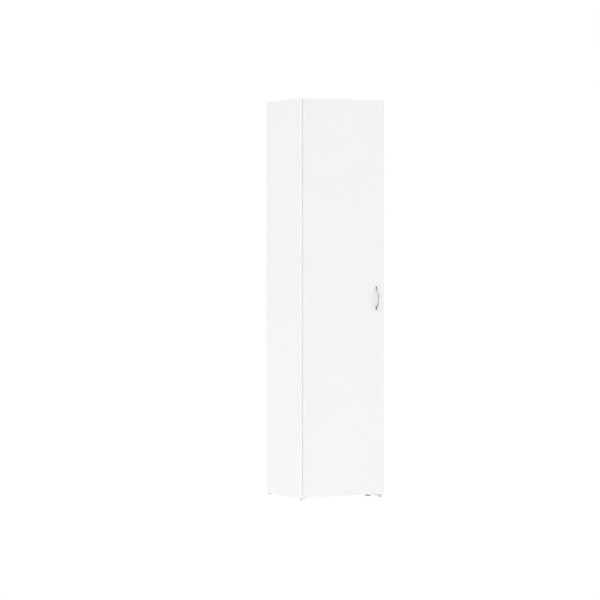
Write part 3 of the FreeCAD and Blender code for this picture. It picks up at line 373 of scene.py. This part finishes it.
# %% Helpers for finishes
NOISE_LOW = 0.3
NOISE_HIGH = 0.7
MIX_FIRST_COLOUR = 6
MIX_SECOND_COLOUR = 7
MIX_COLOUR_OUT = 2


def blend_colours(tree, mask, first, second):
    """Mix two colours by a mask and return the colour's socket."""
    mix = add_node(tree, "ShaderNodeMix", data_type="RGBA")
    if isinstance(first, tuple):
        mix.inputs[MIX_FIRST_COLOUR].default_value = first + (1.0,)
    else:
        wire(tree, first, mix.inputs[MIX_FIRST_COLOUR])
    mix.inputs[MIX_SECOND_COLOUR].default_value = second + (1.0,)
    wire(tree, mask, mix.inputs["Factor"])
    return mix.outputs[MIX_COLOUR_OUT]


def spread(tree, value, low, high):
    """Turn a noise value around its middle into a number between two limits."""
    return ramp(tree, value, NOISE_LOW, NOISE_HIGH, low, high, course="LINEAR")


def roughen(tree, shader, tone, low, high):
    """Let the roughness move between two limits with a noise value."""
    wire(tree, spread(tree, tone, low, high), shader.inputs["Roughness"])


def raise_surface(tree, shader, height, strength, depth):
    """Give the shader a bump of a depth in metres."""
    bump = add_node(tree, "ShaderNodeBump")
    bump.inputs["Strength"].default_value = strength
    bump.inputs["Distance"].default_value = depth
    wire(tree, height, bump.inputs["Height"])
    wire(tree, bump.outputs["Normal"], shader.inputs["Normal"])


def give(material, *names):
    """Assign a finish to CAD nodes."""
    for name in names:
        mesh = nodes[name].data
        mesh.materials.clear()
        mesh.materials.append(material)
    print(material.name, "on", len(names), "pieces")


print("finish helpers ready")

# %% [markdown]
# White melamine is not pure white: it is a warm light grey that keeps about nine tenths of the light. It
# shines less than bare plastic, because its pearl texture scatters what it mirrors.
# Three versions differ only in which way a board's broad faces look, so that each finds its own edge bands.

# %% Finish: white melamine boards
SKIN_WHITE = (0.885, 0.885, 0.880)
SKIN_SHADE = (0.870, 0.870, 0.866)
BAND_WHITE = (0.885, 0.885, 0.878)
GLUE_GREY = (0.800, 0.800, 0.792)
BOARD_SHINE = 0.25
ALONG_X = (1.0, 0.0, 0.0)
ALONG_Y = (0.0, 1.0, 0.0)
ALONG_Z = (0.0, 0.0, 1.0)


def melamine(name, broad_side):
    """The finish of a board whose broad faces look along one axis."""
    material, tree, shader = start_finish(name)
    skin = place_group(tree, pearl, Pimple_Scale=900.0, Drift_Scale=5.0)
    bands = place_group(tree, banding, Broad_Side=broad_side)
    colour = blend_colours(tree, skin.outputs["Tone"], SKIN_WHITE, SKIN_SHADE)
    colour = blend_colours(tree, bands.outputs["Band"], colour, BAND_WHITE)
    colour = blend_colours(tree, bands.outputs["Glue Line"], colour, GLUE_GREY)
    wire(tree, colour, shader.inputs["Base Color"])
    roughen(tree, shader, skin.outputs["Tone"], low=0.40, high=0.52)
    shader.inputs["Specular IOR Level"].default_value = BOARD_SHINE
    raise_surface(tree, shader, skin.outputs["Height"], strength=0.25, depth=0.00006)
    return material


white_side = melamine("white_melamine_side", ALONG_X)
white_front = melamine("white_melamine_front", ALONG_Y)
white_shelf = melamine("white_melamine_shelf", ALONG_Z)
give(white_side, "side_panel_left", "side_panel_right")
give(white_front, "door_panel", "plinth_board")
give(white_shelf, "top_panel", "bottom_panel", "hat_shelf", "adjustable_shelf")

# %% [markdown]
# The back is thin fibreboard: white foil on the inside, bare brown fibres outside and on its edges.
# The surface's direction tells the two apart, because the inside looks towards the front.
# Bare fibreboard is speckled, so a fine noise darkens single fibres in the brown.

# %% Finish: fibreboard back
FOIL_WHITE = (0.86, 0.86, 0.85)
FIBRE_BROWN = (0.40, 0.27, 0.165)
FIBRE_DARK = (0.29, 0.185, 0.105)
TOWARDS_FRONT = -0.5

fibreboard, tree, shader = start_finish("fibreboard_back")
fibres = place_group(tree, drawn, Line_Stretch=(700.0, 700.0, 260.0), Patch_Scale=12.0)
fibre_tone = spread(tree, fibres.outputs["Lines"], 0.0, 1.0)
brown = blend_colours(tree, fibre_tone, FIBRE_BROWN, FIBRE_DARK)
where = add_node(tree, "ShaderNodeTexCoord")
direction = add_node(tree, "ShaderNodeSeparateXYZ")
wire(tree, where.outputs["Normal"], direction.inputs["Vector"])
inside = add_node(tree, "ShaderNodeMath", operation="LESS_THAN")
inside.inputs[1].default_value = TOWARDS_FRONT
wire(tree, direction.outputs["Y"], inside.inputs[0])
both_sides = blend_colours(tree, inside.outputs["Value"], brown, FOIL_WHITE)
wire(tree, both_sides, shader.inputs["Base Color"])
roughen(tree, shader, fibres.outputs["Patches"], low=0.55, high=0.75)
raise_surface(tree, shader, fibres.outputs["Lines"], strength=0.2, depth=0.00008)
give(fibreboard, "back_panel")

# %% [markdown]
# All metals here share one helper. Each has two close colours along its drawn lines, a roughness that
# changes with the handled patches, and a bump so shallow that it only bends the reflections.

# %% Helper for metals


def metal(name, colour, shade, roughness, line_stretch, patch_scale, bump):
    """A metal with drawn lines: two close colours, two limits of roughness and the strength of its bump."""
    material, tree, shader = start_finish(name)
    marks = place_group(tree, drawn, Line_Stretch=line_stretch, Patch_Scale=patch_scale)
    tone = spread(tree, marks.outputs["Lines"], 0.0, 1.0)
    wire(tree, blend_colours(tree, tone, colour, shade), shader.inputs["Base Color"])
    roughen(tree, shader, marks.outputs["Patches"], *roughness)
    shader.inputs["Metallic"].default_value = 1.0
    raise_surface(tree, shader, marks.outputs["Lines"], strength=bump, depth=0.00003)
    return material


print("metal helper ready")

# %% [markdown]
# The handle is cast zinc with a satin nickel coat. Nickel is a little yellow beside steel, and the satin
# brushing runs along the bow, so the lines are long in Z. The bow's face is to look nearly as bright as the
# door, and its flank is to look like a thin dark line. One even metal would need a lamp for that, which would
# mark the door as well. So light and shade are painted into the metal's colour: a dark painted shade on the
# flanks and a painted highlight on the face. The group that finds edge bands also tells a face from a flank.

# %% Finish: satin nickel with a painted highlight on the face and painted shade on the flanks
# Painted shade: the two dark colours stand for flanks in shade. Painted highlight: the bright colour lights
# the face.
PAINTED_FLANK_SHADE = (0.26, 0.26, 0.245)
PAINTED_FLANK_SHADE_DEEP = (0.21, 0.21, 0.196)
PAINTED_FACE_HIGHLIGHT = (0.84, 0.84, 0.80)
LONG_IN_Z = (5000.0, 5000.0, 70.0)


def paint_face_highlight(material, flank_side, colour):
    """Paint a highlight on a metal but not on the flanks, which look along one axis and keep their painted
    shade.
    """
    tree = material.node_tree
    base = shader_of(material).inputs["Base Color"]
    coat = base.links[0].from_socket
    faces = place_group(tree, banding, Broad_Side=flank_side)
    wire(tree, blend_colours(tree, faces.outputs["Band"], coat, colour), base)


satin_nickel = metal(
    "satin_nickel",
    colour=PAINTED_FLANK_SHADE,
    shade=PAINTED_FLANK_SHADE_DEEP,
    roughness=(0.33, 0.43),
    line_stretch=LONG_IN_Z,
    patch_scale=60.0,
    bump=0.12,
)
# The face gets the painted highlight, and the flanks keep the painted shade.
paint_face_highlight(satin_nickel, ALONG_X, PAINTED_FACE_HIGHLIGHT)
print("finish:", satin_nickel.name)

# %% [markdown]
# Hinges and shelf pins are nickel plated, screws and small fittings are zinc plated, and the rail is chromed.
# Hinges are pressed from strip, with lines from front to back, and the rail is drawn along its length. Zinc
# has an even, slightly blue grain without direction.

# %% Finish: nickel, zinc and chrome
LONG_IN_X = (50.0, 3000.0, 3000.0)
LONG_IN_Y = (3000.0, 60.0, 3000.0)
EVEN_GRAIN = (1600.0, 1600.0, 1600.0)

hinge_nickel = metal(
    "hinge_nickel",
    colour=(0.66, 0.66, 0.65),
    shade=(0.56, 0.56, 0.55),
    roughness=(0.24, 0.40),
    line_stretch=LONG_IN_Y,
    patch_scale=90.0,
    bump=0.15,
)
zinc_plate = metal(
    "zinc_plate",
    colour=(0.62, 0.64, 0.66),
    shade=(0.50, 0.51, 0.52),
    roughness=(0.30, 0.48),
    line_stretch=EVEN_GRAIN,
    patch_scale=220.0,
    bump=0.20,
)
bright_chrome = metal(
    "bright_chrome",
    colour=(0.80, 0.80, 0.81),
    shade=(0.76, 0.76, 0.77),
    roughness=(0.07, 0.16),
    line_stretch=LONG_IN_X,
    patch_scale=25.0,
    bump=0.03,
)
print("finishes:", hinge_nickel.name, zinc_plate.name, bright_chrome.name)

# %% Metal fittings
HINGE_PARTS = ("arm", "plate", "cup")
HINGE_PLACES = ("bottom", "middle", "top")

hinges = [f"hinge_{part}_{place}" for part in HINGE_PARTS for place in HINGE_PLACES]
give(hinge_nickel, *hinges, "hinge_pins", "shelf_pins")
give(
    zinc_plate,
    "back_panel_nails",
    "rail_support_screws",
    "wall_bracket_screws",
    "catch_screws",
    "hinge_plate_screws",
    "hinge_arm_screws",
    "hinge_cup_screws",
    "handle_screws",
    "cam_bolts",
    "cam_locks",
    "wall_bracket",
    "catch_strike_plate",
)
give(bright_chrome, "clothes_rail", "rail_support_left", "rail_support_right")

# %% [markdown]
# Moulded plastics have a fine spark-eroded grain from their mould, and the glides under the wardrobe are
# a dull grey one. The bumpers are clear rubber, which lets light in a little way before it comes back out.
# The magnet is dark ferrite with a sandy grain. The same group that makes pearl on the boards makes all of
# these grains, only finer.

# %% Finish: plastics, rubber and ferrite
RUBBER_CLEARNESS = 0.4
RUBBER_DEPTH = (0.002, 0.002, 0.002)


def moulded(name, colour, shade, roughness, grain):
    """A moulded finish: two close colours, two limits of roughness and the scale of its grain."""
    material, tree, shader = start_finish(name)
    skin = place_group(tree, pearl, Pimple_Scale=grain, Drift_Scale=60.0)
    wire(tree, blend_colours(tree, skin.outputs["Tone"], colour, shade), shader.inputs["Base Color"])
    roughen(tree, shader, skin.outputs["Tone"], *roughness)
    raise_surface(tree, shader, skin.outputs["Height"], strength=0.3, depth=0.00005)
    return material


white_plastic = moulded("white_plastic", (0.84, 0.84, 0.82), (0.78, 0.78, 0.76), (0.40, 0.55), grain=2200.0)
glide_plastic = moulded("glide_plastic", (0.42, 0.42, 0.42), (0.33, 0.33, 0.33), (0.45, 0.65), grain=1500.0)
soft_rubber = moulded("soft_rubber", (0.80, 0.80, 0.77), (0.70, 0.70, 0.67), (0.25, 0.40), grain=1200.0)
shader_of(soft_rubber).inputs["Subsurface Weight"].default_value = RUBBER_CLEARNESS
shader_of(soft_rubber).inputs["Subsurface Radius"].default_value = RUBBER_DEPTH
ferrite = moulded("ferrite", (0.055, 0.055, 0.058), (0.03, 0.03, 0.032), (0.50, 0.70), grain=2600.0)
glides = [f"foot_glide_{end}_{side}" for end in ("front", "back") for side in ("left", "right")]
give(white_plastic, "catch_housing")
give(glide_plastic, *glides, "plinth_glide")
give(ferrite, "catch_magnet")

# %% [markdown]
# The dowels are raw beech, with a straight grain along the dowel. They sit deep in the boards, so this
# finish is only seen when a board is taken away. The group for drawn lines gives the grain, long in X.

# %% Finish: raw beech
BEECH_LIGHT = (0.66, 0.47, 0.30)
BEECH_DARK = (0.54, 0.36, 0.21)

beech, tree, shader = start_finish("raw_beech")
grain = place_group(tree, drawn, Line_Stretch=(90.0, 2200.0, 2200.0), Patch_Scale=50.0)
grain_tone = spread(tree, grain.outputs["Lines"], 0.0, 1.0)
wire(tree, blend_colours(tree, grain_tone, BEECH_LIGHT, BEECH_DARK), shader.inputs["Base Color"])
roughen(tree, shader, grain.outputs["Patches"], low=0.55, high=0.70)
raise_surface(tree, shader, grain.outputs["Lines"], strength=0.2, depth=0.0001)
give(beech, "wood_dowels")

# %% [markdown]
# Three kinds of pieces are modelled by hand, because their soft forms matter more than exact faces. The work
# starts the same way for all: everything else is deselected, and a primitive is added at the origin. Where
# a form grows from a single point, that point is a small plane merged into its middle. Edges are picked in
# code by their place.

# %% Helpers for modelling by hand
TINY = 0.00001
SEED_SIZE = 0.01
SMOOTH_ANGLE = math.radians(35.0)


def start_piece(name):
    """A new mesh object at the origin with nothing in it yet, left in edit mode."""
    bpy.ops.object.select_all(action="DESELECT")
    bpy.ops.mesh.primitive_plane_add(size=SEED_SIZE, location=(0.0, 0.0, 0.0))
    piece = bpy.context.active_object
    piece.name = name
    piece.data.name = name
    bpy.ops.object.mode_set(mode="EDIT")
    bpy.ops.mesh.delete(type="VERT")
    return piece


def add_point(place):
    """Add one point to the piece that is being edited, and leave only that point selected."""
    bpy.ops.mesh.select_all(action="DESELECT")
    bpy.ops.mesh.primitive_plane_add(size=SEED_SIZE, location=place)
    bpy.ops.mesh.merge(type="CENTER")


def pick_edges(piece, wanted):
    """Select the edges whose two end points pass a test, and count them."""
    bpy.ops.mesh.select_mode(type="EDGE")
    bpy.ops.mesh.select_all(action="DESELECT")
    mesh = bmesh.from_edit_mesh(piece.data)
    picked = [edge for edge in mesh.edges if wanted(edge.verts[0].co, edge.verts[1].co)]
    for edge in picked:
        edge.select_set(True)
    bmesh.update_edit_mesh(piece.data)
    return len(picked)


def face_outwards():
    """Merge doubled points and turn all faces of the piece that is being edited to the outside."""
    bpy.ops.mesh.select_all(action="SELECT")
    bpy.ops.mesh.remove_doubles(threshold=0.1 * TINY)
    bpy.ops.mesh.normals_make_consistent(inside=False)


def smooth(piece, levels):
    """Leave edit mode and round the piece by subdivision."""
    bpy.ops.object.mode_set(mode="OBJECT")
    rounding = piece.modifiers.new("rounding", "SUBSURF")
    rounding.levels = levels
    rounding.render_levels = levels
    bpy.ops.object.modifier_apply(modifier=rounding.name)
    bpy.ops.object.shade_smooth_by_angle(angle=SMOOTH_ANGLE)


def dress(piece, material, body, node):
    """Give a finished piece its finish and its body, and hide the CAD node that it stands for."""
    piece.data.materials.append(material)
    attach(piece, body)
    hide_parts(node)


print("modelling helpers ready")

# %% [markdown]
# The handle is a bow of cast zinc on two feet, coated in satin nickel. Its outline is the space between two
# arcs that both end on the door. It could be a band swept along a curve, but then it would be equally thick
# all over, and a real bow swells into its feet. So each arc is spun from one point, the two arcs are bridged
# into a flat bow, and the bow is extruded to its width.

# %% Piece: outline of the bow handle
GRIP_THICKNESS = 0.005
FOOT_LENGTH = 0.014
BOW_STEPS = 24

handle_low, handle_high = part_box("door_handle")
handle_width = handle_high.x - handle_low.x
bow_rise = handle_high.y - handle_low.y
half_bow = (handle_high.z - handle_low.z) / 2
bow_middle = (handle_high.z + handle_low.z) / 2
door_front = handle_high.y
outer_arc = (half_bow, bow_rise)
inner_arc = (half_bow - FOOT_LENGTH, bow_rise - GRIP_THICKNESS)


def arc_circle(half_span, rise):
    """Radius of the circle that an arc of this span and rise lies on, and the circle's centre."""
    radius = (half_span ** 2 + rise ** 2) / (2 * rise)
    return radius, Vector((handle_low.x, door_front + radius - rise, bow_middle))


bow_handle = start_piece("bow_handle")
for half_span, rise in (outer_arc, inner_arc):
    radius, centre = arc_circle(half_span, rise)
    sweep = 2 * math.asin(half_span / radius)
    add_point((handle_low.x, door_front, bow_middle - half_span))
    bpy.ops.mesh.spin(steps=BOW_STEPS, angle=sweep, center=centre, axis=ALONG_X)
bpy.ops.mesh.select_all(action="SELECT")
bpy.ops.mesh.bridge_edge_loops()
bpy.ops.mesh.extrude_region_move(TRANSFORM_OT_translate={"value": (handle_width, 0.0, 0.0)})
face_outwards()
print("bow:", round(2000 * half_bow, 1), "mm long,", round(1000 * bow_rise, 1), "mm proud of the door")

# %% [markdown]
# The front edges are cut back further than the edges that fingers feel behind, and subdivision turns the
# cuts into a crowned face and soft flanks. Creases keep the soles flat on the door.

# %% Piece: crowned face and soft edges of the bow handle
FRONT_CUT = 0.0032
BACK_CUT = 0.0010


def along_arc(arc):
    """A test for edges that run along one of the two arcs."""
    radius, centre = arc_circle(*arc)

    def on_arc(point):
        return abs(math.hypot(point.y - centre.y, point.z - centre.z) - radius) < TINY

    return lambda a, b: abs(a.x - b.x) < TINY and on_arc(a) and on_arc(b)


for arc, edge_cut in ((outer_arc, FRONT_CUT), (inner_arc, BACK_CUT)):
    count = pick_edges(bow_handle, along_arc(arc))
    print("edges to cut back:", count)
    bpy.ops.mesh.bevel(offset=edge_cut, segments=1, affect="EDGES")
pick_edges(bow_handle, lambda a, b: min(a.y, b.y) > door_front - TINY)
bpy.ops.transform.edge_crease(value=1.0)
face_outwards()
smooth(bow_handle, levels=2)
dress(bow_handle, satin_nickel, "door", "door_handle")
print("bow handle:", len(bow_handle.data.polygons), "faces")

# %% [markdown]
# Two bumpers behind the door's free edge keep it from knocking on the side board. They are cast from soft
# clear rubber, and stick on with a flat base. The cover caps that hide the cam locks under the top board and
# the hat shelf are pressed from thin white plastic. Both are low round forms with a soft shoulder. Such a
# form can be spun from half of its outline, but it is quicker to fill a circle and extrude it ring by ring,
# each ring a little narrower than the last. One of each is modelled, and the others are copies of it.

# %% Helpers for low round pieces
ROUND_STEPS = 40
SHOULDER_RINGS = 6


def round_pad(name, radius, tip_radius, rim, height):
    """A disc that stands on the origin along +Z: an upright rim, then a soft shoulder up to its flat tip."""
    bpy.ops.object.select_all(action="DESELECT")
    bpy.ops.mesh.primitive_circle_add(vertices=ROUND_STEPS, radius=radius, fill_type="NGON")
    pad = bpy.context.active_object
    pad.name = name
    bpy.ops.object.mode_set(mode="EDIT")
    bpy.ops.mesh.extrude_region_move(TRANSFORM_OT_translate={"value": (0.0, 0.0, rim)})
    level, reach = rim, radius
    for ring in range(1, SHOULDER_RINGS + 1):
        angle = math.pi / 2 * ring / SHOULDER_RINGS
        next_level = rim + (height - rim) * math.sin(angle)
        next_reach = tip_radius + (radius - tip_radius) * math.cos(angle)
        narrowing = next_reach / reach
        bpy.ops.mesh.extrude_region_move(TRANSFORM_OT_translate={"value": (0.0, 0.0, next_level - level)})
        bpy.ops.transform.resize(value=(narrowing, narrowing, 1.0), center_override=(0.0, 0.0, next_level))
        level, reach = next_level, next_reach
    face_outwards()
    bpy.ops.object.mode_set(mode="OBJECT")
    bpy.ops.object.shade_smooth_by_angle(angle=SMOOTH_ANGLE)
    return pad


def copy_to(master, name, spot, turn):
    """A copy with its own mesh, turned about X and moved, with its place kept in the mesh."""
    bpy.ops.object.select_all(action="DESELECT")
    master.select_set(True)
    bpy.context.view_layer.objects.active = master
    bpy.ops.object.duplicate(linked=False)
    piece = bpy.context.active_object
    piece.name = name
    piece.data.name = name
    piece.location = spot
    piece.rotation_euler = (turn, 0.0, 0.0)
    bpy.ops.object.transform_apply(location=True, rotation=True, scale=True)
    return piece


print("rings on each shoulder:", SHOULDER_RINGS)

# %% Piece: rubber bumpers behind the door
BUMPER_RADIUS = 0.005
BUMPER_TIP = 0.0022
BUMPER_RIM = 0.0006
TO_THE_BACK = -math.pi / 2

bumper_low, bumper_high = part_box("door_bumpers")
bumper_x = (bumper_low.x + bumper_high.x) / 2
bumper = round_pad("rubber_bumper", BUMPER_RADIUS, BUMPER_TIP, BUMPER_RIM, bumper_high.y - bumper_low.y)
for place, level in (("low", bumper_low.z + BUMPER_RADIUS), ("high", bumper_high.z - BUMPER_RADIUS)):
    pad = copy_to(bumper, f"rubber_bumper_{place}", (bumper_x, bumper_low.y, level), TO_THE_BACK)
    dress(pad, soft_rubber, "door", "door_bumpers")
    print(pad.name, "at height", round(level, 3))
bpy.data.objects.remove(bumper)

# %% Piece: cover caps under the top board and the hat shelf
CAP_RADIUS = 0.0085
CAP_TIP = 0.0068
CAP_RIM = 0.0003
CAP_HEIGHT = 0.001
DOWNWARDS = math.pi

cap_low, cap_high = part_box("cam_cover_caps")
cap = round_pad("cover_cap", CAP_RADIUS, CAP_TIP, CAP_RIM, CAP_HEIGHT)
for board in ("top_panel", "hat_shelf"):
    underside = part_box(board)[0].z
    for side, x in (("left", cap_low.x + CAP_RADIUS), ("right", cap_high.x - CAP_RADIUS)):
        for end, y in (("front", cap_low.y + CAP_RADIUS), ("back", cap_high.y - CAP_RADIUS)):
            copy = copy_to(cap, f"cover_cap_{board}_{side}_{end}", (x, y, underside), DOWNWARDS)
            dress(copy, white_plastic, "carcass", "cam_cover_caps")
    print("caps under", board, "at height", round(underside, 3))
bpy.data.objects.remove(cap)
